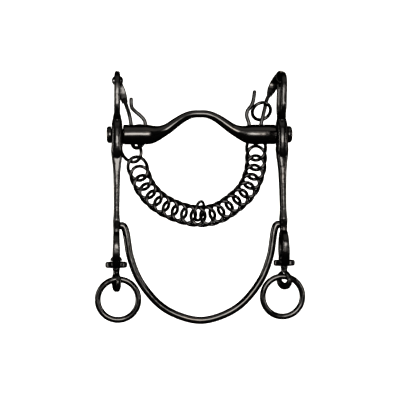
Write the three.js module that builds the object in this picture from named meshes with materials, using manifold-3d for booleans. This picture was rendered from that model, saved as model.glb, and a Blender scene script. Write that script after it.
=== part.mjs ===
// Blackened steel curb bit: ported mouthpiece, two forged cheeks, a joining bar under the chin,
// swivelled rein rings, curb hooks and a double-link curb chain.
// Units are millimetres. X runs from the left cheek to the right cheek, Y to the back, Z up.
// The origin is the middle of the mouthpiece's axis. "side" is -1 on the left and +1 on the right.

import * as THREE from 'three';
import { mergeVertices } from 'three/addons/utils/BufferGeometryUtils.js';
import Module from 'manifold-3d';

const wasm = await Module();
wasm.setup();

// ---- Driving dimensions ----------------------------------------------------------------------

const GAP = 0.3; // running gap between separate pieces
const SPLAY_ROOM = 0.15; // more room where a square shoulder meets the leaning cheek

const MOUTH = {
  barRadius: 8.3,
  portRadius: 3.2, // at the crown of the port
  shoulderRadius: 5.3, // on the slopes of the port
  portRise: 17.1,
  crownHalf: 2.5, // half-width of the flat crown
  footHalf: 39, // half-width where the slopes meet the bars
  tenonRadius: 5,
  headRadius: 7,
  end: 76.9, // outer face of the peened head
};

const CHEEK = {
  offset: 68.3, // distance of the cheek's middle plane from the origin at z = 0
  splay: 0.0127, // outward lean, mm per mm of drop
  rightLoopLean: 0.045, // extra outward lean of the right headstall loop, above its foot
  loopFoot: 17,
  bossFace: 4.5, // half-thickness of the boss around the tenon
  loopBar: 5, // width of the headstall loop's bar
  loopRadius: 12, // middle line of the headstall loop
  loopLow: 25.5, // centres of its two half-round ends
  loopHigh: 37.9,
  toeBar: 5.4,
  toeRadius: 11.4,
  toeLow: -95.6,
  toeHigh: -92.6,
  toeBottom: -109.6,
  toeFloor: -104.1, // flat seat of the swivel's head
  swivelHeight: -107, // where the swivel's bore is centred on the cheek
};

// Full thickness of a cheek against height: a slim loop, a spindle boss, a slim shank with a
// shoulder over the toe loop.
const CHEEK_THICKNESS = [
  [52, 4.2], [47, 5], [17, 5], [12, 8], [9, 9], [-9, 9], [-13, 9.8], [-18, 9],
  [-24, 7.4], [-31, 6.1], [-42, 5.4], [-60, 5], [-66, 5.2], [-71, 6], [-80, 5.4], [-88, 5.6],
  [-97, 6.2], [-112, 6.4],
];

const LOWER_BAR = { radius: 3.15, height: -74.9, tenonRadius: 2 };

const SWIVEL = { pinRadius: 2, eyeHalfY: 8.8, eyeThickness: 4.2, leftTurn: 16, rightTurn: 30 };

const REIN_RING = { radius: 16.7, wire: 2.6, leftInward: 1.3, rightInward: 1.5, rightLift: 0.6 };

const HOOK = { wire: 1.75, plate: 2.6 };

const CHAIN = {
  links: 21,
  radius: 8, // middle line of a link, across the chain
  stretch: 1.26, // a link is this much longer along the chain
  wire: 1.5,
  twist: 2.8, // how far a link's quarters stand out of its middle plane
  quarter: 0.25, // how much flatter the twist is than a plain wave
  plane: 14, // the chain hangs this far behind the mouthpiece's axis
  leftRoll: 5.2, // degrees that an end link is rolled to lie over its hook
  rightRoll: -9.2,
  rolledLinks: 6, // the roll dies away over this many links
};

// ---- Materials -------------------------------------------------------------------------------

function steel(color, roughness) {
  return new THREE.MeshStandardMaterial({ color, roughness, metalness: 1 });
}

const forged = steel(0x24211f, 0.34);
const polished = steel(0x2b2826, 0.26);
const wire = steel(0x1d1b1a, 0.3);

// ---- Small helpers ---------------------------------------------------------------------------

const vec = (x, y, z) => new THREE.Vector3(x, y, z);
const rad = THREE.MathUtils.degToRad;

function solid(geometry) {
  const bare = geometry.index ? geometry.clone() : mergeVertices(geometry);
  bare.deleteAttribute('normal');
  bare.deleteAttribute('uv');
  const merged = mergeVertices(bare, 1e-4);
  return new wasm.Manifold(new wasm.Mesh({
    numProp: 3,
    vertProperties: new Float32Array(merged.attributes.position.array),
    triVerts: new Uint32Array(merged.index.array),
  }));
}

function geometryOf(manifold) {
  const { vertProperties, triVerts } = manifold.getMesh();
  const geometry = new THREE.BufferGeometry();
  geometry.setAttribute('position', new THREE.BufferAttribute(vertProperties, 3));
  geometry.setIndex(new THREE.BufferAttribute(triVerts, 1));
  geometry.computeVertexNormals();
  return geometry;
}

function joined(pieces) {
  return pieces.reduce((whole, piece) => whole.add(piece));
}

// Moves every vertex of a geometry with change(position).
function warp(geometry, change) {
  const places = geometry.attributes.position;
  const point = vec(0, 0, 0);
  for (let i = 0; i < places.count; i += 1) {
    point.fromBufferAttribute(places, i);
    change(point);
    places.setXYZ(i, point.x, point.y, point.z);
  }
  return geometry;
}

function circle(radius, sides) {
  const shape = new THREE.Shape();
  for (let i = 0; i < sides; i += 1) {
    const angle = (2 * Math.PI * i) / sides;
    const corner = [radius * Math.cos(angle), radius * Math.sin(angle)];
    if (i === 0) shape.moveTo(...corner);
    else shape.lineTo(...corner);
  }
  return shape;
}

// A round rod along a smooth curve through the points.
function rod(points, radius, sides, steps) {
  const extrudePath = new THREE.CatmullRomCurve3(points, false, 'centripetal');
  return new THREE.ExtrudeGeometry(circle(radius, sides), { extrudePath, steps, bevelEnabled: false });
}

function cylinderAlong(axis, radius, from, to, sides = 20) {
  const geometry = new THREE.CylinderGeometry(radius, radius, to - from, sides);
  geometry.translate(0, (from + to) / 2, 0);
  if (axis === 'x') geometry.rotateZ(-Math.PI / 2);
  if (axis === 'z') geometry.rotateX(Math.PI / 2);
  return geometry;
}

// Extrudes an outline drawn in Y and Z along X.
function plateAlongX(shape, from, to, curveSegments = 10) {
  const depth = to - from;
  const geometry = new THREE.ExtrudeGeometry(shape, { depth, bevelEnabled: false, curveSegments });
  geometry.applyMatrix4(new THREE.Matrix4().makeBasis(vec(0, 1, 0), vec(0, 0, 1), vec(1, 0, 0)));
  return geometry.translate(from, 0, 0);
}

// Extrudes an outline drawn in X and Z along Y.
function plateAlongY(shape, from, to) {
  const depth = to - from;
  const geometry = new THREE.ExtrudeGeometry(shape, { depth, bevelEnabled: false });
  geometry.rotateX(Math.PI / 2);
  return geometry.translate(0, to, 0);
}

const smooth = THREE.MathUtils.smoothstep;

const parts = new THREE.Group();

function addPart(name, geometry, material) {
  const mesh = new THREE.Mesh(geometry, material);
  mesh.name = name;
  parts.add(mesh);
}

const sideName = (side) => (side < 0 ? 'left' : 'right');

// ---- Mouthpiece ------------------------------------------------------------------------------

function barRadiusAt(x) {
  const onSlope = MOUTH.portRadius
    + (MOUTH.shoulderRadius - MOUTH.portRadius) * smooth(Math.abs(x), 2, 26);
  return onSlope + (MOUTH.barRadius - MOUTH.shoulderRadius) * smooth(Math.abs(x), 27, 45);
}

function portRiseAt(x) {
  const along = (Math.abs(x) - MOUTH.crownHalf) / (MOUTH.footHalf + 1 - MOUTH.crownHalf);
  const clamped = THREE.MathUtils.clamp(along, 0, 1);
  return (MOUTH.portRise * (1 + Math.cos(Math.PI * clamped))) / 2;
}

function mouthpiece() {
  const shoulder = CHEEK.offset - CHEEK.bossFace - GAP - SPLAY_ROOM;
  const headInner = CHEEK.offset + CHEEK.bossFace + GAP + SPLAY_ROOM;
  const half = [];
  for (let x = 0; x < 47; x += 3) half.push([barRadiusAt(x), x]);
  half.push([MOUTH.barRadius, shoulder - 1], [MOUTH.barRadius - 1, shoulder]);
  half.push([MOUTH.tenonRadius, shoulder], [MOUTH.tenonRadius, headInner]);
  half.push([MOUTH.headRadius, headInner], [MOUTH.headRadius, MOUTH.end - 1.4]);
  half.push([MOUTH.headRadius - 0.9, MOUTH.end - 0.3], [MOUTH.headRadius - 2.4, MOUTH.end], [0, MOUTH.end]);
  const other = half.slice(1).reverse().map(([radius, x]) => [radius, -x]);
  const profile = [...other, ...half].map(([radius, x]) => new THREE.Vector2(radius, x));
  const geometry = new THREE.LatheGeometry(profile, 16);
  geometry.rotateZ(-Math.PI / 2);
  warp(geometry, (point) => {
    point.z += portRiseAt(point.x);
  });
  return geometryOf(solid(geometry));
}

// ---- Cheeks ----------------------------------------------------------------------------------

const cheekPlane = (z) => CHEEK.offset - CHEEK.splay * z;

function cheekX(side, z) {
  const lean = side > 0 ? CHEEK.rightLoopLean * Math.max(0, z - CHEEK.loopFoot) : 0;
  return side * (cheekPlane(z) + lean);
}

// A slot outline: two half-round ends of one radius, one above the other.
function slot(Kind, radius, low, high) {
  const outline = new Kind();
  outline.moveTo(radius, low);
  outline.lineTo(radius, high);
  outline.absarc(0, high, radius, 0, Math.PI, false);
  outline.lineTo(-radius, low);
  outline.absarc(0, low, radius, Math.PI, 2 * Math.PI, false);
  return outline;
}

function loopOutline(radius, bar, low, high) {
  const outline = slot(THREE.Shape, radius + bar / 2, low, high);
  outline.holes.push(slot(THREE.Path, radius - bar / 2, low, high));
  return outline;
}

function shankOutline() {
  const outline = new THREE.Shape();
  outline.moveTo(-6.4, 0);
  outline.lineTo(-6.4, -30);
  outline.lineTo(-5.4, -62);
  outline.lineTo(-7.2, -70);
  outline.lineTo(-5.8, -77);
  outline.lineTo(-5.8, -82.5);
  outline.lineTo(5.8, -82.5);
  outline.lineTo(5.8, -77);
  outline.lineTo(7.2, -70);
  outline.lineTo(5.4, -62);
  outline.lineTo(6.4, -30);
  outline.lineTo(6.4, 0);
  return outline;
}

function bossOutline() {
  const outline = new THREE.Shape();
  outline.absellipse(0, -4.5, 9.6, 20, 0, 2 * Math.PI, false);
  return outline;
}

function frontOutline(side) {
  const outer = CHEEK_THICKNESS.map(([z, t]) => [cheekX(side, z) + (side * t) / 2, z]);
  const inner = CHEEK_THICKNESS.map(([z, t]) => [cheekX(side, z) - (side * t) / 2, z]).reverse();
  return new THREE.Shape([...outer, ...inner].map(([x, z]) => new THREE.Vector2(x, z)));
}

// The cross boss at the foot of the toe loop, which carries the swivel's bore.
function crossBoss(side) {
  const half = (CHEEK.toeLow - CHEEK.toeRadius + CHEEK.toeBar / 2 - CHEEK.toeBottom) / 2;
  const edge = [[0, -half], [8, -half], [9.1, 1 - half], [9.1, half - 1], [8, half], [0, half]];
  const geometry = new THREE.LatheGeometry(edge.map(([r, z]) => new THREE.Vector2(r, z)), 24);
  geometry.rotateX(Math.PI / 2);
  geometry.scale(1, 0.62, 1);
  const z = CHEEK.toeBottom + half;
  return geometry.translate(side * cheekPlane(z), 0, z);
}

function cheek(side) {
  const from = side * CHEEK.offset - 9;
  const to = side * CHEEK.offset + 9;
  const outlines = [
    loopOutline(CHEEK.loopRadius, CHEEK.loopBar, CHEEK.loopLow, CHEEK.loopHigh),
    bossOutline(),
    shankOutline(),
    loopOutline(CHEEK.toeRadius, CHEEK.toeBar, CHEEK.toeLow, CHEEK.toeHigh),
  ];
  const blank = joined(outlines.map((outline) => solid(plateAlongX(outline, from, to))));
  const forgedBlank = blank.intersect(solid(plateAlongY(frontOutline(side), -20, 20)));
  const swivelBore = cylinderAlong('z', SWIVEL.pinRadius + GAP, -116, -101, 16);
  swivelBore.translate(side * cheekPlane(CHEEK.swivelHeight), 0, 0);
  const headSeat = cylinderAlong('z', 5.5, CHEEK.toeFloor, CHEEK.toeHigh);
  headSeat.translate(side * cheekPlane(CHEEK.swivelHeight), 0, 0);
  const barBore = cylinderAlong('x', LOWER_BAR.tenonRadius + GAP, from, to, 16);
  barBore.translate(0, 0, LOWER_BAR.height);
  return geometryOf(
    forgedBlank
      .add(solid(crossBoss(side)))
      .subtract(solid(cylinderAlong('x', MOUTH.tenonRadius + GAP, from, to)))
      .subtract(solid(barBore))
      .subtract(solid(swivelBore))
      .subtract(solid(headSeat)),
  );
}

// ---- Lower bar -------------------------------------------------------------------------------

function lowerBar() {
  const inner = cheekPlane(LOWER_BAR.height) - 2.75 - 3 * GAP;
  const half = [
    [inner, LOWER_BAR.height], [inner - 1.8, LOWER_BAR.height - 0.1], [62.3, -77.4], [61.1, -82.2], [60.2, -88.5],
    [58, -101], [50.3, -120.5], [34, -140.5], [18, -149.8],
  ];
  const right = half.map(([x, z]) => vec(x, 0, z));
  const left = half.map(([x, z]) => vec(-x, 0, z));
  const bar = solid(rod([...left, vec(0, 0, -153.8), ...right.reverse()], LOWER_BAR.radius, 10, 56));
  const reach = cheekPlane(LOWER_BAR.height) + 2.6;
  const tenons = [[-reach, 4 - inner], [inner - 4, reach]].map(([from, to]) => (
    solid(cylinderAlong('x', LOWER_BAR.tenonRadius, from, to, 14).translate(0, 0, LOWER_BAR.height))
  ));
  return geometryOf(joined([bar, ...tenons]));
}

// ---- Swivels and rein rings ------------------------------------------------------------------

const swivelX = cheekPlane(CHEEK.swivelHeight);
const RING_WIRE_Z = -118.9; // middle of the rein ring's wire where it hangs in the eye

function swivel(side) {
  const floor = CHEEK.toeBottom - GAP;
  const edge = [
    [0, -101.2], [SWIVEL.pinRadius, -101.2], [SWIVEL.pinRadius, floor], [3.4, floor],
    [2.9, floor - 1.5], [2.7, -113.7], [3, -115.2], [0, -115.2],
  ];
  const profile = edge.map(([r, z]) => new THREE.Vector2(r, z)).reverse();
  const pin = new THREE.LatheGeometry(profile, 14).rotateX(Math.PI / 2);
  const eye = new THREE.Shape();
  eye.absellipse(0, -121.4, SWIVEL.eyeHalfY, 8, 0, 2 * Math.PI, false);
  const hole = new THREE.Path();
  hole.absellipse(0, -119.4, SWIVEL.eyeHalfY - 3.4, 4.1, 0, 2 * Math.PI, false);
  eye.holes.push(hole);
  const half = SWIVEL.eyeThickness / 2;
  const body = solid(pin).add(solid(plateAlongX(eye, -half, half, 10)));
  const geometry = geometryOf(body);
  geometry.rotateZ(rad(side < 0 ? SWIVEL.leftTurn : SWIVEL.rightTurn));
  return geometry.translate(side * swivelX, 0, 0);
}

// The peened head that holds the swivel's pin up inside the toe loop.
function swivelHead(side) {
  const seat = CHEEK.toeFloor + GAP;
  const bore = SWIVEL.pinRadius + GAP;
  const edge = [
    [bore, seat], [4.9, seat], [5, seat + 0.8], [4.5, seat + 2.4], [3.4, seat + 3.5],
    [bore, seat + 3.9], [bore, seat],
  ];
  const profile = edge.map(([r, z]) => new THREE.Vector2(r, z));
  const geometry = new THREE.LatheGeometry(profile, 14).rotateX(Math.PI / 2);
  return geometryOf(solid(geometry.translate(side * swivelX, 0, 0)));
}

function reinRing(side) {
  const geometry = new THREE.TorusGeometry(REIN_RING.radius, REIN_RING.wire, 8, 34);
  geometry.rotateZ(Math.PI / 34);
  geometry.rotateX(Math.PI / 2);
  const x = side < 0 ? REIN_RING.leftInward - swivelX : swivelX - REIN_RING.rightInward;
  const z = RING_WIRE_Z - REIN_RING.radius + (side < 0 ? 0 : REIN_RING.rightLift);
  return geometryOf(solid(geometry.translate(x, 0, z)));
}

// ---- Curb hooks ------------------------------------------------------------------------------

// Points are [inward, back, height]: inward is the distance from the cheek towards the middle.
const HOOK_WIRES = {
  left: [
    [5.9, 15.4, 29.8], [6.9, 14.2, 26.3], [7.9, 12.8, 23.2], [9.4, 11.2, 18.4],
    [11, 10.7, 9.9], [11.2, 10.5, 1.5], [11.7, 11.3, -5.1], [13.3, 16.1, -9.1],
    [15.8, 16.9, -10.1], [19.9, 17.8, -7.8], [22.6, 17.4, -0.6], [23.2, 17, 7.4],
    [22.4, 16.6, 12.9], [18.9, 16.4, 17.1], [15.1, 16.4, 20.3], [12, 16.8, 23.7],
    [11.3, 17, 27], [11.3, 17, 30.9],
  ],
  right: [
    [7.6, 13.6, 34.7], [9, 12.8, 32.1], [10.4, 12, 29], [11.6, 11.4, 23.9],
    [13.4, 10.9, 16.8], [14.8, 10.8, 11.3], [15.5, 11, 6.7], [15.6, 10.6, -0.5],
    [17.9, 13.4, -4.4], [21.2, 16.6, -3], [23.8, 16.2, 4.2], [25, 16.2, 11.4],
    [26.7, 16, 16.9], [26, 15.9, 21.1], [23.2, 15.9, 24.9], [21.3, 15.9, 28.7],
    [20.4, 16, 33.3], [19.8, 16.1, 37.1],
  ],
};

// The flat leaf between the eye and the wire: [inward, back, height, width].
const HOOK_LEAVES = {
  left: [[0.2, 13.7, 48.9, 3.4], [1.6, 16, 43.4, 5.6], [3.6, 16.8, 37.5, 6.4], [5, 16.5, 32, 6.4], [6.1, 15.7, 27.6, 5.2]],
  right: [[-1.7, 9.7, 53.1, 4.4], [0, 13.4, 49.7, 7], [2.6, 16.4, 44.4, 8], [5.5, 16.1, 38.7, 7.2], [7.8, 13.6, 33.8, 4.6]],
};

// Where on the headstall loop each hook's eye sits, in degrees up from the back.
const HOOK_SEAT = { left: 40, right: 60 };

const inwardX = (side, inward) => side * (cheekPlane(40) - inward);

function hookEye(side) {
  const halfX = 3.35;
  const halfRadial = 5.2;
  const band = 1.4;
  const outline = new THREE.Shape();
  outline.absellipse(0, 0, halfX + band, halfRadial + band, 0, 2 * Math.PI, false);
  const hole = new THREE.Path();
  hole.absellipse(0, 0, halfX, halfRadial, 0, 2 * Math.PI, false);
  outline.holes.push(hole);
  const depth = 2.8;
  const geometry = new THREE.ExtrudeGeometry(outline, { depth, bevelEnabled: false, curveSegments: 12 });
  geometry.translate(0, 0, -depth / 2);
  const seat = rad(HOOK_SEAT[sideName(side)]);
  const radial = vec(0, Math.cos(seat), Math.sin(seat));
  const along = vec(0, -Math.sin(seat), Math.cos(seat));
  geometry.applyMatrix4(new THREE.Matrix4().makeBasis(vec(1, 0, 0), radial, along));
  const centre = radial.multiplyScalar(CHEEK.loopRadius).add(vec(0, 0, CHEEK.loopHigh));
  return geometry.translate(cheekX(side, centre.z), centre.y, centre.z);
}

// A flat strip of varying width along a smooth curve, lying broadside to the back.
function hookLeaf(side) {
  const stations = HOOK_LEAVES[sideName(side)];
  const line = new THREE.CatmullRomCurve3(
    stations.map(([inward, y, z]) => vec(inwardX(side, inward), y, z)), false, 'centripetal',
  );
  const widths = new THREE.SplineCurve(stations.map(([, , , width], i) => new THREE.Vector2(i, width)));
  const geometry = new THREE.BoxGeometry(1, 1, 1, 1, 1, 10);
  warp(geometry, (point) => {
    const along = point.z + 0.5;
    const tangent = line.getTangent(along);
    const across = vec(1, 0, 0).addScaledVector(tangent, -tangent.x).normalize();
    const through = tangent.clone().cross(across);
    const { x, y } = point;
    point.copy(line.getPoint(along));
    point.addScaledVector(across, x * widths.getPoint(along).y);
    point.addScaledVector(through, y * HOOK.plate);
  });
  return geometry;
}

function curbHook(side) {
  const points = HOOK_WIRES[sideName(side)].map(([inward, y, z]) => vec(inwardX(side, inward), y, z));
  return geometryOf(joined([
    solid(hookEye(side)),
    solid(hookLeaf(side)),
    solid(rod(points, HOOK.wire, 8, 40)),
  ]));
}

// ---- Curb chain ------------------------------------------------------------------------------

// The line on which the chain hangs between the two hooks, in X and Z.
const CHAIN_LINE = [
  [-56.7, -12.3], [-53.4, -19.2], [-51.5, -26.5], [-45.5, -42.6], [-34.6, -55.1], [-17.4, -64.2], [0.7, -67.9],
  [15.2, -65.5], [28.8, -57.3], [40.9, -45.6], [47.2, -30.9], [48.4, -22.6], [48.7, -10.8],
];

// One link lies across the chain's line: an oval whose quarters stand alternately in front and
// behind, so that each link passes through the next two.
function linkPoint(angle) {
  const quarter = 2 * angle;
  return vec(
    CHAIN.radius * CHAIN.stretch * Math.cos(angle),
    CHAIN.radius * Math.sin(angle),
    CHAIN.twist * Math.sin(quarter) * (1 + CHAIN.quarter * Math.cos(quarter) ** 2),
  );
}

function chainLink(centre, tangent, roll) {
  const geometry = new THREE.TorusGeometry(CHAIN.radius, CHAIN.wire, 6, 22);
  warp(geometry, (point) => {
    const angle = Math.atan2(point.y, point.x);
    const outwards = Math.hypot(point.x, point.y) - CHAIN.radius;
    const upwards = point.z;
    const along = linkPoint(angle + 0.01).sub(linkPoint(angle - 0.01)).normalize();
    const out = vec(along.y, -along.x, 0).normalize();
    point.copy(linkPoint(angle));
    point.addScaledVector(out, outwards);
    point.addScaledVector(out.clone().cross(along), upwards);
  });
  const back = vec(0, 1, 0).applyAxisAngle(tangent, roll);
  const across = back.clone().cross(tangent);
  geometry.applyMatrix4(new THREE.Matrix4().makeBasis(tangent, across, back));
  return geometryOf(solid(geometry.translate(centre.x, centre.y, centre.z)));
}

// A plain round ring hanging on another wire: where it hangs and how it is turned.
const LOOSE_RINGS = {
  left_spare_link: { radius: 8, wire: 1.5, centre: [-49.11, 17.26, 2.35], normal: [0.084, 0.738, 0.67] },
  right_spare_link: { radius: 8, wire: 1.5, centre: [52.96, 10.68, 20.28], normal: [-0.171, 0.838, 0.518] },
  lip_strap_ring: { radius: 8.2, wire: 1.3, centre: [0.19, 13.49, -63.35], normal: [-0.851, 0.484, 0.203] },
};

function looseRing({ radius, wire: thickness, centre, normal }) {
  const geometry = new THREE.TorusGeometry(radius, thickness, 6, 24);
  const turn = new THREE.Quaternion().setFromUnitVectors(vec(0, 0, 1), vec(...normal).normalize());
  geometry.applyQuaternion(turn);
  return geometryOf(solid(geometry.translate(...centre)));
}

function addChain() {
  const line = new THREE.CatmullRomCurve3(
    CHAIN_LINE.map(([x, z]) => vec(x, CHAIN.plane, z)), false, 'centripetal',
  );
  for (let i = 0; i < CHAIN.links; i += 1) {
    const along = i === 0 ? 0 : (i + 1) / CHAIN.links; // the first step is a double one
    const name = `curb_link_${String(i + 1).padStart(2, '0')}`;
    const fromRight = CHAIN.links - 1 - i;
    const roll = CHAIN.leftRoll * Math.max(0, 1 - i / CHAIN.rolledLinks)
      + CHAIN.rightRoll * Math.max(0, 1 - fromRight / CHAIN.rolledLinks);
    addPart(name, chainLink(line.getPointAt(along), line.getTangentAt(along), rad(roll)), wire);
  }
}

// ---- Assembly --------------------------------------------------------------------------------

addPart('mouthpiece', mouthpiece(), polished);
addPart('lower_bar', lowerBar(), polished);
for (const side of [-1, 1]) {
  const name = sideName(side);
  addPart(`${name}_cheek`, cheek(side), forged);
  addPart(`${name}_swivel`, swivel(side), forged);
  addPart(`${name}_swivel_head`, swivelHead(side), forged);
  addPart(`${name}_rein_ring`, reinRing(side), polished);
  addPart(`${name}_curb_hook`, curbHook(side), wire);
}
addChain();
for (const [name, ring] of Object.entries(LOOSE_RINGS)) addPart(name, looseRing(ring), wire);

export default parts;
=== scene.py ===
"""Blackened-steel ported curb bit: forged cheeks, lower bar, rein rings, curb hooks and chain.

Lengths below are in millimetres and are turned into metres when a mesh is made. X runs from the
left cheek to the right cheek, Y to the back and Z up; side is -1 on the left, +1 on the right.
"""

import math

import bpy
import numpy as np
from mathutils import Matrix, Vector


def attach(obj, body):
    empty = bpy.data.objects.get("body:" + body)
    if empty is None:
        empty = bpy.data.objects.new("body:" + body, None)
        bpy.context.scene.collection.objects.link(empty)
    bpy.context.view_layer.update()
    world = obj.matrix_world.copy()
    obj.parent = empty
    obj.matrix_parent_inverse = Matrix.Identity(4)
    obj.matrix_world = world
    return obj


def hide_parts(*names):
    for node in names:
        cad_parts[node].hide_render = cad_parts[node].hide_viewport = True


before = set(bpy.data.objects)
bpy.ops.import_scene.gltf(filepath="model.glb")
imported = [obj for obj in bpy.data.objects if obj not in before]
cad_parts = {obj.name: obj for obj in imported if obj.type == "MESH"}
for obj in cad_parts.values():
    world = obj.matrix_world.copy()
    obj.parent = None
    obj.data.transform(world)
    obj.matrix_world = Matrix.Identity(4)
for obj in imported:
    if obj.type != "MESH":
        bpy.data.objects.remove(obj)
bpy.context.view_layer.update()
scene = bpy.context.scene

MM = 0.001

# ---- Dimensions ------------------------------------------------------------------------------

CHEEK_OFFSET = 68.3
CHEEK_SPLAY = 0.0127
RIGHT_LOOP_LEAN = 0.045  # extra outward lean of the right headstall loop, above its foot
LOOP_FOOT = 17.0
BOSS_FACE = 4.5
HEADSTALL_LOOP = {"radius": 12.0, "bar": 5.0, "low": 25.5, "high": 37.9}
TOE_LOOP = {"radius": 11.4, "bar": 5.4, "low": -95.6, "high": -92.6}
CROSS_BOSS = {"top": -104.3, "bottom": -109.6, "half_x": 9.1, "half_y": 5.64}
CHEEK_THICKNESS = [
    (52, 4.2), (47, 5), (17, 5), (12, 8), (9, 9), (-9, 9), (-13, 9.8), (-18, 9),
    (-24, 7.4), (-31, 6.1), (-42, 5.4), (-60, 5), (-66, 5.2), (-71, 6), (-80, 5.4), (-88, 5.6),
    (-97, 6.2), (-112, 6.4),
]
SHANK_HALF_WIDTH = [(0, 6.4), (-30, 6.4), (-62, 5.4), (-70, 7.2), (-77, 5.8), (-84, 5.8)]
BOSS = {"half_width": 9.6, "middle": -4.5, "half_height": 20.0, "tip": 0.6}
SECTION_CORNERS = {"loop": 1.6, "shank": 2.2, "boss": 3.9}

MOUTH = {
    "bar": 8.3, "port": 3.2, "shoulder": 5.3, "rise": 17.1, "crown_half": 2.5, "foot_half": 40.0,
    "tenon": 5.0, "head": 7.0, "end": 76.9,
}
SHOULDER_GAP = 0.45  # from the bar's shoulder to the boss's inner face
HEAD_GAP = 0.2  # from the boss's outer face to the peened head

BAR_RADIUS = 3.15
BAR_TOP = -74.9
BAR_SHOULDER = 3.65  # from the cheek's middle plane to the end of the lower bar's full width
TENON_RADIUS = 2.0
TENON_REACH = 2.7

SWIVEL_X = CHEEK_OFFSET + CHEEK_SPLAY * 107  # the cheek's middle plane at the swivel
SWIVEL_GAP = 0.3
SWIVEL_EYE = {
    "middle": -121.4, "half_y": 8.8, "half_z": 8.0,
    "hole": -119.4, "hole_half_y": 5.4, "hole_half_z": 4.1, "half_thickness": 2.1,
}
SWIVEL_SEAT = -103.8  # underside of the peened head
SWIVEL_TURN = {"left": 16.0, "right": 30.0}
RING_WIRE_Z = -118.9
REIN_RING = {
    "radius": 16.7, "wire": 2.6, "left_inward": 1.3, "right_inward": 1.5, "right_lift": 0.6,
}

HOOK_WIRE = 1.75
HOOK_PLATE = 2.6
HOOK_SEAT = {"left": 40.0, "right": 60.0}  # degrees up from the back of the loop
HOOK_EYE = {"half_x": 4.05, "half_radial": 5.9, "band": 0.7, "half_length": 1.4}
HOOK_HEIGHT = 40.0  # hook places are measured inwards from the cheek at this height
# Points are (inward, back, height); a leaf's points also have its width.
HOOK_WIRES = {
    "left": [
        (5.9, 15.4, 29.8), (6.9, 14.2, 26.3), (7.9, 12.8, 23.2), (9.4, 11.2, 18.4),
        (11, 10.7, 9.9), (11.2, 10.5, 1.5), (11.7, 11.3, -5.1), (13.3, 16.1, -9.1),
        (15.8, 16.9, -10.1), (19.9, 17.8, -7.8), (22.6, 17.4, -0.6), (23.2, 17, 7.4),
        (22.4, 16.6, 12.9), (18.9, 16.4, 17.1), (15.1, 16.4, 20.3), (12, 16.8, 23.7),
        (11.3, 17, 27), (11.3, 17, 30.9),
    ],
    "right": [
        (7.6, 13.6, 34.7), (9, 12.8, 32.1), (10.4, 12, 29), (11.6, 11.4, 23.9),
        (13.4, 10.9, 16.8), (14.8, 10.8, 11.3), (15.5, 11, 6.7), (15.6, 10.6, -0.5),
        (17.9, 13.4, -4.4), (21.2, 16.6, -3), (23.8, 16.2, 4.2), (25, 16.2, 11.4),
        (26.7, 16, 16.9), (26, 15.9, 21.1), (23.2, 15.9, 24.9), (21.3, 15.9, 28.7),
        (20.4, 16, 33.3), (19.8, 16.1, 37.1),
    ],
}
HOOK_LEAVES = {
    "left": [
        (0.2, 13.7, 48.9, 3.4), (1.6, 16, 43.4, 5.6), (3.6, 16.8, 37.5, 6.4),
        (5, 16.5, 32, 6.4), (6.1, 15.7, 27.6, 5.2),
    ],
    "right": [
        (-1.7, 9.7, 53.1, 4.4), (0, 13.4, 49.7, 7), (2.6, 16.4, 44.4, 8),
        (5.5, 16.1, 38.7, 7.2), (7.8, 13.6, 33.8, 4.6),
    ],
}

CHAIN = {
    "links": 21, "radius": 8.0, "stretch": 1.26, "wire": 1.5, "twist": 2.8, "quarter": 0.25,
    "plane": 14.0, "left_roll": 5.2, "right_roll": -9.2, "rolled": 6,
}
CHAIN_LINE = [
    (-56.7, -12.3), (-53.4, -19.2), (-51.5, -26.5), (-45.5, -42.6), (-34.6, -55.1), (-17.4, -64.2),
    (0.7, -67.9), (15.2, -65.5), (28.8, -57.3), (40.9, -45.6), (47.2, -30.9), (48.4, -22.6),
    (48.7, -10.8),
]
# Each loose ring's radius, wire radius, centre and normal.
LOOSE_RINGS = {
    "left_spare_link": (8.0, 1.5, (-49.11, 17.26, 2.35), (0.084, 0.738, 0.67)),
    "right_spare_link": (8.0, 1.5, (52.96, 10.68, 20.28), (-0.171, 0.838, 0.518)),
    "lip_strap_ring": (8.2, 1.3, (0.19, 13.49, -63.35), (-0.851, 0.484, 0.203)),
}

# Fitted to the photo's outline; the angles are in radians.
CAMERA = {
    "target": (-0.26, 0, -54.2), "distance": 773.2, "yaw": 0.0738, "roll": 0.0069, "lens": 84.1,
}
LIGHT_TARGET = (0, 0, -60)
LIGHT_COLOUR = (1, 0.97, 0.93)
# Each light's name, place, size and power in watts.
LIGHTS = [
    ("front", (-10, -820, 45), (360, 260), 10.5),
    ("front_glow", (-10, -830, 50), (460, 760), 6),
    ("top", (0, -350, 640), (900, 600), 2.5),
    ("right_strip", (560, -420, -20), (50, 420), 3),
    ("left_strip", (-620, -120, -20), (50, 420), 3),
    ("back", (120, 660, 430), (420, 220), 4),
    ("left_fill", (-760, 60, 40), (300, 500), 1.6),
    ("right_fill", (760, 60, 40), (300, 500), 1.6),
]


def cheek_plane(z):
    return CHEEK_OFFSET - CHEEK_SPLAY * z


def cheek_x(side, z):
    lean = RIGHT_LOOP_LEAN * max(0, z - LOOP_FOOT) if side > 0 else 0
    return side * (cheek_plane(z) + lean)


def side_name(side):
    return "left" if side < 0 else "right"


def table_value(table, z):
    """The value at height z of a table of (z, value) pairs that runs downwards."""
    heights = [-row[0] for row in table]
    values = [row[1] for row in table]
    return float(np.interp(-z, heights, values))


def smoothstep(value, low, high):
    t = min(max((value - low) / (high - low), 0.0), 1.0)
    return t * t * (3 - 2 * t)


# ---- Curves ----------------------------------------------------------------------------------

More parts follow.
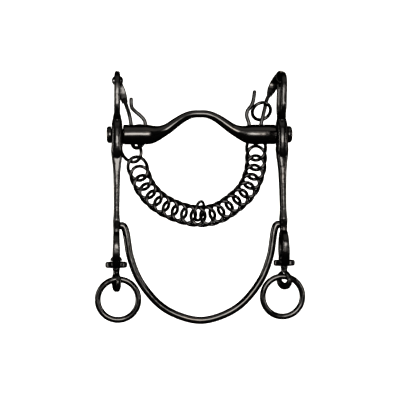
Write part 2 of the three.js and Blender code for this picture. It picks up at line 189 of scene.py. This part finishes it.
def spline_point(points, t):
    """A point on the centripetal Catmull-Rom curve through points, with t from 0 to 1."""
    last = len(points) - 1
    place = last * t
    i = min(int(place), last - 1)
    w = place - i
    p1, p2 = points[i], points[i + 1]
    p0 = points[i - 1] if i > 0 else 2 * points[0] - points[1]
    p3 = points[i + 2] if i + 2 <= last else 2 * points[last] - points[last - 1]
    d0, d1, d2 = (math.sqrt(np.linalg.norm(b - a)) for a, b in ((p0, p1), (p1, p2), (p2, p3)))
    m1 = ((p1 - p0) / d0 - (p2 - p0) / (d0 + d1) + (p2 - p1) / d1) * d1
    m2 = ((p2 - p1) / d1 - (p3 - p1) / (d1 + d2) + (p3 - p2) / d2) * d1
    a = 2 * p1 - 2 * p2 + m1 + m2
    b = -3 * p1 + 3 * p2 - 2 * m1 - m2
    return p1 + m1 * w + b * w * w + a * w * w * w


def spline(points, steps):
    """Evenly spaced points along the smooth curve through points."""
    points = [np.array(p, float) for p in points]
    fine = np.array([spline_point(points, t) for t in np.linspace(0, 1, 1201)])
    run = np.concatenate([[0], np.cumsum(np.linalg.norm(np.diff(fine, axis=0), axis=1))])
    wanted = np.linspace(0, run[-1], steps + 1)
    return np.stack([np.interp(wanted, run, fine[:, k]) for k in range(3)], axis=1)


def tangents(path, closed=False):
    if closed:
        step = np.roll(path, -1, axis=0) - np.roll(path, 1, axis=0)
    else:
        step = np.gradient(path, axis=0)
    return step / np.linalg.norm(step, axis=1)[:, None]


# ---- Surfaces: each returns (vertices in mm, faces) -------------------------------------------

def grid_faces(rings, sides, closed):
    faces = []
    for i in range(rings if closed else rings - 1):
        a, b = i * sides, ((i + 1) % rings) * sides
        for k in range(sides):
            n = (k + 1) % sides
            faces.append((a + k, a + n, b + n, b + k))
    return faces


def capped(faces, rings, sides):
    first = tuple(reversed(range(sides)))
    final = tuple(range((rings - 1) * sides, rings * sides))
    return faces + [first, final]


def loft(sections, closed=False):
    """Joins a list of equal rings of points."""
    sections = np.array(sections)
    rings, sides = sections.shape[:2]
    faces = grid_faces(rings, sides, closed)
    return sections.reshape(-1, 3), faces if closed else capped(faces, rings, sides)


def round_wire(path, radius, sides=20, closed=False):
    """A round wire along a path, with rounded tips where it is open."""
    if not closed:
        path, radii = rounded_tips(path, radius)
    else:
        radii = np.full(len(path), radius)
    way = tangents(path, closed)
    across = np.cross(way[0], (0.3, 0.9, 0.31))
    rings = []
    angles = np.linspace(0, 2 * math.pi, sides, endpoint=False)
    for centre, along, r in zip(path, way, radii):
        across = across - along * np.dot(across, along)
        across /= np.linalg.norm(across)
        other = np.cross(along, across)
        rings.append([centre + r * (math.cos(a) * across + math.sin(a) * other) for a in angles])
    return loft(rings, closed)


def rounded_tips(path, radius, steps=6):
    way = tangents(path)
    start, end = [], []
    for k in range(steps):
        a = math.pi / 2 * (k + 0.35) / steps
        start.append((path[0] - way[0] * radius * math.cos(a), radius * math.sin(a)))
        end.append((path[-1] + way[-1] * radius * math.cos(a), radius * math.sin(a)))
    ends = start + [(p, radius) for p in path] + end[::-1]
    return np.array([p for p, _ in ends]), np.array([r for _, r in ends])


def lathe(profile, sides=64):
    """Turns (radius, height) pairs about Z."""
    angles = np.linspace(0, 2 * math.pi, sides, endpoint=False)
    rings = [[(max(r, 1e-3) * math.cos(a), max(r, 1e-3) * math.sin(a), z) for a in angles]
             for r, z in profile]
    return loft(rings)


def soft_rectangle(half_a, half_b, corner, per_corner=5):
    """Points of a rectangle with round corners, as (a, b) pairs."""
    corner = min(corner, half_a * 0.98, half_b * 0.98)
    points = []
    for quarter, (sa, sb) in enumerate(((1, 1), (-1, 1), (-1, -1), (1, -1))):
        for k in range(per_corner):
            a = math.pi / 2 * (quarter + k / (per_corner - 1))
            points.append((sa * (half_a - corner) + corner * math.cos(a),
                           sb * (half_b - corner) + corner * math.sin(a)))
    return points


def slot_path(radius, low, high, steps=26):
    """The middle line of a loop in the YZ plane."""
    path = []
    for k in range(steps):
        a = math.pi * k / (steps - 1)
        path.append((0, radius * math.cos(a), high + radius * math.sin(a)))
    for k in range(steps):
        a = math.pi + math.pi * k / (steps - 1)
        path.append((0, radius * math.cos(a), low + radius * math.sin(a)))
    return np.array(path)


def circle(centre, radius, across, up, steps):
    """Points of a circle in the plane of two unit vectors."""
    across, up = np.array(across, float), np.array(up, float)
    points = []
    for a in np.linspace(0, 2 * math.pi, steps, endpoint=False):
        points.append(centre + radius * (math.cos(a) * across + math.sin(a) * up))
    return np.array(points)


def fillet(profile, radius, steps=5):
    """Rounds the corners of an open (r, z) profile."""
    out = [profile[0]]
    for before, here, after in zip(profile, profile[1:], profile[2:]):
        here, before, after = np.array(here, float), np.array(before, float), np.array(after, float)
        back, ahead = before - here, after - here
        reach = min(radius, np.linalg.norm(back) * 0.45, np.linalg.norm(ahead) * 0.45)
        start = here + back / np.linalg.norm(back) * reach
        end = here + ahead / np.linalg.norm(ahead) * reach
        for k in range(steps):
            t = k / (steps - 1)
            out.append(tuple((1 - t) ** 2 * start + 2 * t * (1 - t) * here + t * t * end))
    return out + [profile[-1]]


# ---- Materials -------------------------------------------------------------------------------

class Nodes:
    """Small helper for building a node material."""

    def __init__(self, name):
        self.material = bpy.data.materials.new(name)
        self.material.use_nodes = True
        self.tree = self.material.node_tree
        self.surface = self.tree.nodes["Principled BSDF"]

    def add(self, kind, **values):
        node = self.tree.nodes.new(kind)
        for key, value in values.items():
            if key in node.inputs:
                node.inputs[key].default_value = value
            else:
                setattr(node, key, value)
        return node

    def link(self, source, target):
        self.tree.links.new(source, target)

    def place(self, stretch=(1, 1, 1)):
        coordinates = self.add("ShaderNodeTexCoord")
        mapping = self.add("ShaderNodeMapping")
        mapping.inputs["Scale"].default_value = stretch
        self.link(coordinates.outputs["Object"], mapping.inputs["Vector"])
        return mapping.outputs["Vector"]

    def noise(self, vector, scale, detail=4.0, roughness=0.55):
        node = self.add("ShaderNodeTexNoise", Scale=scale, Detail=detail, Roughness=roughness)
        self.link(vector, node.inputs["Vector"])
        return node.outputs["Fac"]

    def ramp(self, value, stops):
        node = self.add("ShaderNodeValToRGB")
        ramp = node.color_ramp
        while len(ramp.elements) < len(stops):
            ramp.elements.new(0.5)
        for element, (at, colour) in zip(ramp.elements, stops):
            element.position = at
            element.color = (*colour, 1)
        self.link(value, node.inputs["Fac"])
        return node.outputs["Color"]

    def remap(self, value, low, high, to_low, to_high):
        node = self.add("ShaderNodeMapRange")
        limits = {"From Min": low, "From Max": high, "To Min": to_low, "To Max": to_high}
        for key, number in limits.items():
            node.inputs[key].default_value = number
        self.link(value, node.inputs["Value"])
        return node.outputs["Result"]

    def mix(self, factor, first, second):
        node = self.add("ShaderNodeMix", data_type="RGBA")
        self.link(factor, node.inputs[0])
        for source, socket in ((first, node.inputs[6]), (second, node.inputs[7])):
            if isinstance(source, tuple):
                socket.default_value = (*source, 1)
            else:
                self.link(source, socket)
        return node.outputs[2]

    def bump(self, height, strength, distance, normal=None):
        node = self.add("ShaderNodeBump", Strength=strength, Distance=distance)
        self.link(height, node.inputs["Height"])
        if normal is not None:
            self.link(normal, node.inputs["Normal"])
        return node.outputs["Normal"]


def blackened_steel(name, dark, warm, worn, roughness, grain, dents, wear):
    """Blued and oiled steel: near-black, a little brown in patches, bright where it has rubbed.

    grain is (stretch, scale, strength) and dents is (scale, strength).
    """
    grain_stretch, grain_scale, grain_strength = grain
    dent_scale, dent_strength = dents
    n = Nodes(name)
    place = n.place()
    patches = n.noise(place, 55, 5)
    colour = n.ramp(patches, [(0.3, dark), (0.52, dark), (0.78, warm)])
    edge = n.add("ShaderNodeNewGeometry").outputs["Pointiness"]
    rubbed = n.remap(edge, 0.515, 0.58, 0.0, wear)
    breakup = n.remap(n.noise(place, 420, 3), 0.35, 0.65, 0.25, 1.0)
    both = n.add("ShaderNodeMath", operation="MULTIPLY")
    n.link(rubbed, both.inputs[0])
    n.link(breakup, both.inputs[1])
    colour = n.mix(both.outputs[0], colour, worn)
    n.link(colour, n.surface.inputs["Base Color"])
    n.surface.inputs["Metallic"].default_value = 1.0
    n.surface.inputs["Specular Tint"].default_value = (0.25, 0.24, 0.23, 1)
    cloud = n.noise(place, 130, 6, 0.6)
    n.link(n.remap(cloud, 0.3, 0.7, roughness[0], roughness[1]), n.surface.inputs["Roughness"])
    broad = n.bump(n.noise(place, dent_scale, 2), dent_strength, 0.001)
    grain_noise = n.noise(n.place(grain_stretch), grain_scale, 3)
    fine = n.bump(grain_noise, grain_strength, 0.0002, broad)
    n.link(fine, n.surface.inputs["Normal"])
    return n.material


FORGED = blackened_steel(
    "forged_blackened_steel",
    dark=(0.014, 0.0136, 0.0132), warm=(0.024, 0.021, 0.0185), worn=(0.07, 0.067, 0.064),
    roughness=(0.12, 0.24), grain=((1, 1, 1), 900, 0.12), dents=(120, 0.45), wear=0.5,
)
POLISHED = blackened_steel(
    "polished_blackened_steel",
    dark=(0.016, 0.0155, 0.015), warm=(0.023, 0.0205, 0.0185), worn=(0.06, 0.058, 0.056),
    roughness=(0.08, 0.16), grain=((1, 6, 6), 700, 0.06), dents=(60, 0.5), wear=0.3,
)
WIRE = blackened_steel(
    "drawn_blackened_wire",
    dark=(0.0105, 0.0102, 0.01), warm=(0.017, 0.0152, 0.0138), worn=(0.04, 0.039, 0.038),
    roughness=(0.08, 0.16), grain=((1, 1, 1), 1100, 0.1), dents=(180, 0.12), wear=0.35,
)


# ---- Objects ---------------------------------------------------------------------------------

def merged(surfaces):
    points, faces, base = [], [], 0
    for vertices, quads in surfaces:
        points.append(np.asarray(vertices, float))
        faces += [tuple(base + i for i in face) for face in quads]
        base += len(vertices)
    return np.concatenate(points), faces


def new_object(name, surfaces):
    points, faces = merged(surfaces)
    mesh = bpy.data.meshes.new(name)
    mesh.from_pydata((points * MM).tolist(), [], faces)
    mesh.validate()
    mesh.shade_smooth()
    piece = bpy.data.objects.new(name, mesh)
    scene.collection.objects.link(piece)
    return piece


def settle(piece):
    """Applies a piece's modifiers."""
    bpy.context.view_layer.update()
    graph = bpy.context.evaluated_depsgraph_get()
    mesh = bpy.data.meshes.new_from_object(piece.evaluated_get(graph), depsgraph=graph)
    piece.modifiers.clear()
    piece.data = mesh
    mesh.shade_smooth()


def forge(name, surfaces, voxel, passes):
    """Welds overlapping surfaces into one skin and rounds its edges, as forging does."""
    piece = new_object(name, surfaces)
    remesh = piece.modifiers.new("weld", "REMESH")
    remesh.mode = "VOXEL"
    remesh.voxel_size = voxel * MM
    smooth = piece.modifiers.new("round", "SMOOTH")
    smooth.factor = 0.5
    smooth.iterations = passes
    settle(piece)
    return piece


def show(piece, material, node, body):
    piece.data.materials.clear()
    piece.data.materials.append(material)
    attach(piece, body)
    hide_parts(node)


# ---- Mouthpiece ------------------------------------------------------------------------------

def bar_radius_at(x):
    slope = MOUTH["port"] + (MOUTH["shoulder"] - MOUTH["port"]) * smoothstep(abs(x), 2, 26)
    return slope + (MOUTH["bar"] - MOUTH["shoulder"]) * smoothstep(abs(x), 27, 45)


def port_rise_at(x):
    along = (abs(x) - MOUTH["crown_half"]) / (MOUTH["foot_half"] - MOUTH["crown_half"])
    return MOUTH["rise"] * (1 + math.cos(math.pi * min(max(along, 0), 1))) / 2


def mouthpiece():
    shoulder = CHEEK_OFFSET - BOSS_FACE - SHOULDER_GAP
    head_inner = CHEEK_OFFSET + BOSS_FACE + HEAD_GAP
    half = [(bar_radius_at(x), x) for x in np.arange(0, 48, 0.75)]
    end = [
        (MOUTH["bar"], 50), (MOUTH["bar"], shoulder - 0.9), (MOUTH["bar"] - 1, shoulder),
        (MOUTH["tenon"], shoulder), (MOUTH["tenon"], head_inner), (MOUTH["head"], head_inner),
        (MOUTH["head"], MOUTH["end"] - 1.6), (MOUTH["head"] - 1, MOUTH["end"] - 0.4),
        (MOUTH["head"] - 2.8, MOUTH["end"]), (0, MOUTH["end"]),
    ]
    half += fillet(end, 0.6)
    profile = [(r, -x) for r, x in reversed(half[1:])] + half
    points, faces = lathe(profile, 72)
    turned = np.stack([points[:, 2], points[:, 1], -points[:, 0]], axis=1)
    turned[:, 2] += [port_rise_at(x) for x in turned[:, 0]]
    piece = new_object("mouthpiece_bar", [(turned, faces)])
    show(piece, POLISHED, "mouthpiece", "bit")


# ---- Cheeks ----------------------------------------------------------------------------------

def loop_bar(side, loop):
    path = slot_path(loop["radius"], loop["low"], loop["high"])
    way = tangents(path, closed=True)
    rings = []
    for centre, along in zip(path, way):
        outward = np.cross(along, (1, 0, 0))
        half = table_value(CHEEK_THICKNESS, centre[2]) / 2
        section = soft_rectangle(half, loop["bar"] / 2, SECTION_CORNERS["loop"])
        place = centre + np.array([cheek_x(side, centre[2]), 0, 0])
        rings.append([place + np.array([a, 0, 0]) + b * outward for a, b in section])
    return loft(rings, closed=True)


def stack(side, heights, half_width_at, corner):
    """A bar standing along Z with a round-cornered section that changes with height."""
    rings = []
    for z in heights:
        half = table_value(CHEEK_THICKNESS, z) / 2
        section = soft_rectangle(half, half_width_at(z), corner)
        rings.append([(cheek_x(side, z) + a, b, z) for a, b in section])
    return loft(rings)


def boss_half_width(z):
    """Half the width, at height z, of the oval round the mouthpiece's tenon."""
    part = (z - BOSS["middle"]) / BOSS["half_height"]
    return max(BOSS["half_width"] * math.sqrt(max(1 - part ** 2, 0)), BOSS["tip"])


def shank_half_width(z):
    return table_value(SHANK_HALF_WIDTH, z)


def cross_boss(side):
    half = (CROSS_BOSS["top"] - CROSS_BOSS["bottom"]) / 2
    middle = CROSS_BOSS["bottom"] + half
    edge = [(0, -half), (0.88, -half), (1, 1 - half), (1, half - 1), (0.88, half), (0, half)]
    points, faces = lathe(fillet(edge, 0.2), 48)
    points = points * (CROSS_BOSS["half_x"], CROSS_BOSS["half_y"], 1)
    return points + (side * cheek_plane(middle), 0, middle), faces


def cheek(side):
    name = side_name(side)
    boss_heights = np.linspace(15.2, -24.2, 80)
    shank_heights = np.linspace(2, -83.5, 120)
    surfaces = [
        loop_bar(side, HEADSTALL_LOOP),
        stack(side, boss_heights, boss_half_width, SECTION_CORNERS["boss"]),
        stack(side, shank_heights, shank_half_width, SECTION_CORNERS["shank"]),
        loop_bar(side, TOE_LOOP),
        cross_boss(side),
    ]
    piece = forge(f"{name}_cheek_forging", surfaces, voxel=0.45, passes=5)
    show(piece, FORGED, f"{name}_cheek", "bit")


# ---- Lower bar -------------------------------------------------------------------------------

def lower_bar():
    inner = cheek_plane(BAR_TOP) - BAR_SHOULDER
    # (x, z) down the right half, from the shoulder to near the middle.
    half = [
        (inner, BAR_TOP), (inner - 1.8, BAR_TOP - 0.1), (62.3, -77.4), (61.1, -82.2), (60.2, -88.5),
        (58, -101), (50.3, -120.5), (34, -140.5), (18, -149.8),
    ]
    line = [(-x, 0, z) for x, z in half] + [(0, 0, -153.8)] + [(x, 0, z) for x, z in reversed(half)]
    surfaces = [round_wire(spline(line, 200), BAR_RADIUS, 32)]
    reach = cheek_plane(BAR_TOP) + TENON_REACH
    for side in (-1, 1):
        ends = (side * (inner - 3), side * (reach - TENON_RADIUS))
        path = np.array([(x, 0, BAR_TOP) for x in np.linspace(*ends, 8)])
        surfaces.append(round_wire(path, TENON_RADIUS, 24))
    piece = new_object("lower_bar_rod", surfaces)
    show(piece, POLISHED, "lower_bar", "bit")


# ---- Swivels and rein rings ------------------------------------------------------------------

def turned_about_z(points, degrees):
    c, s = math.cos(math.radians(degrees)), math.sin(math.radians(degrees))
    x, y, z = np.asarray(points, float).T
    return np.stack([c * x - s * y, s * x + c * y, z], axis=1)


def swivel_eye():
    eye = SWIVEL_EYE
    rings = []
    for a in np.linspace(0, 2 * math.pi, 72, endpoint=False):
        across, up = math.cos(a), math.sin(a)
        inner = np.array([0, eye["hole_half_y"] * across, eye["hole"] + eye["hole_half_z"] * up])
        outer = np.array([0, eye["half_y"] * across, eye["middle"] + eye["half_z"] * up])
        middle = (inner + outer) / 2
        reach = (outer - inner) / 2
        half = np.linalg.norm(reach)
        section = soft_rectangle(eye["half_thickness"], half, 1.3)
        rings.append([middle + np.array([p, 0, 0]) + q / half * reach for p, q in section])
    return loft(rings, closed=True)


def swivel(side):
    name = side_name(side)
    floor = CROSS_BOSS["bottom"] - SWIVEL_GAP
    neck_profile = [
        (0, floor), (3.4, floor), (2.9, floor - 1.5), (2.7, -113.7), (3, -115.2), (0, -115.2),
    ]
    neck = lathe(fillet(neck_profile, 0.6))
    surfaces = [(turned_about_z(points, SWIVEL_TURN[name]) + (side * SWIVEL_X, 0, 0), faces)
                for points, faces in (neck, swivel_eye())]
    piece = forge(f"{name}_swivel_eye", surfaces, voxel=0.28, passes=4)
    show(piece, FORGED, f"{name}_swivel", f"{name}_swivel")

    seat = SWIVEL_SEAT
    head_profile = [
        (2, seat), (4.9, seat), (5, seat + 0.8), (4.5, seat + 2.4), (3.4, seat + 3.5),
        (0, seat + 3.9),
    ]
    points, faces = lathe(fillet(head_profile, 0.7))
    head = new_object(f"{name}_swivel_rivet_head", [(points + (side * SWIVEL_X, 0, 0), faces)])
    show(head, FORGED, f"{name}_swivel_head", f"{name}_swivel")


def rein_ring(side):
    name = side_name(side)
    radius = REIN_RING["radius"]
    x = side * (SWIVEL_X - REIN_RING[f"{name}_inward"])
    lift = REIN_RING["right_lift"] if side > 0 else 0
    path = circle((x, 0, RING_WIRE_Z - radius + lift), radius, (1, 0, 0), (0, 0, 1), 128)
    ring = round_wire(path, REIN_RING["wire"], 28, closed=True)
    piece = new_object(f"{name}_rein_ring_wire", [ring])
    show(piece, POLISHED, f"{name}_rein_ring", f"{name}_rein_ring")


# ---- Curb hooks ------------------------------------------------------------------------------

def hook_x(side, inward):
    return side * (cheek_plane(HOOK_HEIGHT) - inward)


def hook_eye(side):
    seat = math.radians(HOOK_SEAT[side_name(side)])
    radial = np.array([0, math.cos(seat), math.sin(seat)])
    along = np.array([0, -math.sin(seat), math.cos(seat)])
    centre = radial * HEADSTALL_LOOP["radius"] + np.array([0, 0, HEADSTALL_LOOP["high"]])
    centre[0] = cheek_x(side, centre[2])
    half_x, half_radial = HOOK_EYE["half_x"], HOOK_EYE["half_radial"]
    section = soft_rectangle(HOOK_EYE["band"], HOOK_EYE["half_length"], 0.6)
    rings = []
    for a in np.linspace(0, 2 * math.pi, 48, endpoint=False):
        outward = np.array([math.cos(a) / half_x, 0, 0]) + radial * math.sin(a) / half_radial
        outward /= np.linalg.norm(outward)
        middle = centre + np.array([half_x * math.cos(a), 0, 0])
        middle += radial * half_radial * math.sin(a)
        rings.append([middle + p * outward + q * along for p, q in section])
    return loft(rings, closed=True)


def hook_leaf(side):
    stations = HOOK_LEAVES[side_name(side)]
    steps = 40
    line = spline([(hook_x(side, inward), y, z) for inward, y, z, _ in stations], steps)
    way = tangents(line)
    places = np.linspace(0, len(stations) - 1, steps + 1)
    widths = np.interp(places, range(len(stations)), [station[3] for station in stations])
    rings = []
    for centre, along, width in zip(line, way, widths):
        across = np.array([1.0, 0, 0]) - along * along[0]
        across /= np.linalg.norm(across)
        through = np.cross(along, across)
        section = soft_rectangle(width / 2, HOOK_PLATE / 2, 0.9)
        rings.append([centre + p * across + q * through for p, q in section])
    return loft(rings)


def curb_hook(side):
    name = side_name(side)
    points = [(hook_x(side, inward), y, z) for inward, y, z in HOOK_WIRES[name]]
    wire = round_wire(spline(points, 150), HOOK_WIRE, 20)
    surfaces = [hook_eye(side), hook_leaf(side), wire]
    piece = forge(f"{name}_curb_hook_wire", surfaces, voxel=0.28, passes=4)
    show(piece, WIRE, f"{name}_curb_hook", f"{name}_curb_hook")


# ---- Curb chain ------------------------------------------------------------------------------

def rolled(vector, axis, degrees):
    """A vector turned about a unit axis."""
    c, s = math.cos(math.radians(degrees)), math.sin(math.radians(degrees))
    return vector * c + np.cross(axis, vector) * s + axis * np.dot(axis, vector) * (1 - c)


def curb_chain():
    count, link_steps = CHAIN["links"], 20
    line = spline([(x, CHAIN["plane"], z) for x, z in CHAIN_LINE], count * link_steps)
    way = tangents(line)
    for i in range(count):
        step = 0 if i == 0 else (i + 1) * link_steps  # the first step is a double one
        centre, along = line[step], way[step]
        roll = CHAIN["left_roll"] * max(0, 1 - i / CHAIN["rolled"])
        roll += CHAIN["right_roll"] * max(0, 1 - (count - 1 - i) / CHAIN["rolled"])
        back = rolled(np.array([0.0, 1.0, 0.0]), along, roll)
        across = np.cross(back, along)
        path = []
        for a in np.linspace(0, 2 * math.pi, 56, endpoint=False):
            x = CHAIN["radius"] * CHAIN["stretch"] * math.cos(a)
            y = CHAIN["radius"] * math.sin(a)
            z = CHAIN["twist"] * math.sin(2 * a) * (1 + CHAIN["quarter"] * math.cos(2 * a) ** 2)
            path.append(centre + x * along + y * across + z * back)
        name = f"curb_link_{i + 1:02d}"
        ring = round_wire(np.array(path), CHAIN["wire"], 16, closed=True)
        piece = new_object(f"{name}_wire", [ring])
        show(piece, WIRE, name, name)


def loose_rings():
    for name, (radius, wire, centre, normal) in LOOSE_RINGS.items():
        normal = np.array(normal) / np.linalg.norm(normal)
        across = np.cross(normal, (0.2, 0.3, 0.93))
        across /= np.linalg.norm(across)
        path = circle(centre, radius, across, np.cross(normal, across), 64)
        piece = new_object(f"{name}_wire", [round_wire(path, wire, 18, closed=True)])
        show(piece, WIRE, name, name)


# ---- Stage, light and camera -----------------------------------------------------------------

def pale_paper():
    """Pale paper that the steel doesn't mirror, as if dark cards stood round the bit."""
    n = Nodes("pale_paper")
    grain = n.noise(n.place(), 30, 3)
    paper = n.ramp(grain, [(0.3, (0.9, 0.9, 0.9)), (0.7, (0.93, 0.93, 0.93))])
    mirrored = n.add("ShaderNodeLightPath").outputs["Is Glossy Ray"]
    n.link(n.mix(mirrored, paper, (0.02, 0.02, 0.02)), n.surface.inputs["Base Color"])
    n.surface.inputs["Roughness"].default_value = 0.9
    n.surface.inputs["Specular IOR Level"].default_value = 0.1
    return n.material


def stage():
    """A pale floor that curves up into a backdrop well behind the bit."""
    depth, rise, bend, floor = 900.0, 1500.0, 500.0, -230.0
    near, half_width, steps = -2500, 3500, 24
    profile = [(near, floor)]
    for k in range(steps + 1):
        a = math.pi / 2 * k / steps
        profile.append((depth - bend + bend * math.sin(a), floor + bend - bend * math.cos(a)))
    profile.append((depth, floor + rise))
    points = [(x, y, z) for y, z in profile for x in (-half_width, half_width)]
    faces = [(2 * i, 2 * i + 1, 2 * i + 3, 2 * i + 2) for i in range(len(profile) - 1)]
    floor_sheet = new_object("floor", [(points, faces)])
    floor_sheet.data.materials.append(pale_paper())


def area_light(name, place, size, power):
    data = bpy.data.lights.new(name, "AREA")
    data.shape = "RECTANGLE"
    data.size, data.size_y = size[0] * MM, size[1] * MM
    data.energy = power
    data.color = LIGHT_COLOUR
    light = bpy.data.objects.new(name, data)
    scene.collection.objects.link(light)
    aim(light, place, LIGHT_TARGET)


def aim(thing, place, target):
    """Puts a light or camera at a place and points it at a target, both in mm."""
    thing.location = Vector(place) * MM
    direction = (Vector(target) - Vector(place)) * MM
    thing.rotation_euler = direction.to_track_quat("-Z", "Y").to_euler()


def studio():
    """An even white room, which the steel mirrors as a dim one."""
    world = bpy.data.worlds.new("studio")
    scene.world = world
    world.use_nodes = True
    tree = world.node_tree
    background = tree.nodes["Background"]
    background.inputs["Color"].default_value = (1, 0.99, 0.98, 1)
    path = tree.nodes.new("ShaderNodeLightPath")
    strength = tree.nodes.new("ShaderNodeMapRange")
    strength.inputs["To Min"].default_value = 1.05
    strength.inputs["To Max"].default_value = 0.03
    tree.links.new(path.outputs["Is Glossy Ray"], strength.inputs["Value"])
    tree.links.new(strength.outputs["Result"], background.inputs["Strength"])


def lighting():
    studio()
    for name, place, size, power in LIGHTS:
        area_light(name, place, size, power)


def camera():
    x, y, z = CAMERA["target"]
    distance, yaw = CAMERA["distance"], CAMERA["yaw"]
    data = bpy.data.cameras.new("camera")
    data.lens = CAMERA["lens"]
    data.sensor_width = 36
    data.clip_end = 20
    view = bpy.data.objects.new("camera", data)
    scene.collection.objects.link(view)
    aim(view, (x - distance * math.sin(yaw), y - distance * math.cos(yaw), z), (x, y, z))
    view.rotation_euler.rotate_axis("Z", -CAMERA["roll"])
    scene.camera = view


camera()
lighting()
stage()
mouthpiece()
lower_bar()
for side in (-1, 1):
    cheek(side)
    swivel(side)
    rein_ring(side)
    curb_hook(side)
curb_chain()
loose_rings()

scene.view_settings.view_transform = "Standard"
